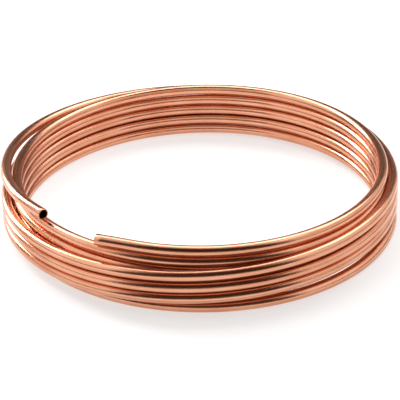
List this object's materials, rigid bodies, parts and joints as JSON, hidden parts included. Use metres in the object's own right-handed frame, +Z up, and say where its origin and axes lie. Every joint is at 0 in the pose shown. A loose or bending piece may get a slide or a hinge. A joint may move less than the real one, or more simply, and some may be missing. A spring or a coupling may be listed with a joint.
{
  "type": "copper tube coil",
  "caption": "Soft copper tube wound in a flat two-layer coil, its slack last turn lying over the top.",
  "frame": {"origin": "on the coil's axis, at the floor it lies on", "axes": "+Z up along the coil's axis; -Y towards the side where the two ends are, -X towards the slack turn"},
  "size_m": [0.3748, 0.3786, 0.0661],
  "materials": {
    "copper": "bright drawn copper"
  },
  "bodies": {
    "root": {"tube_coil": "copper"}
  },
  "joints": []
}
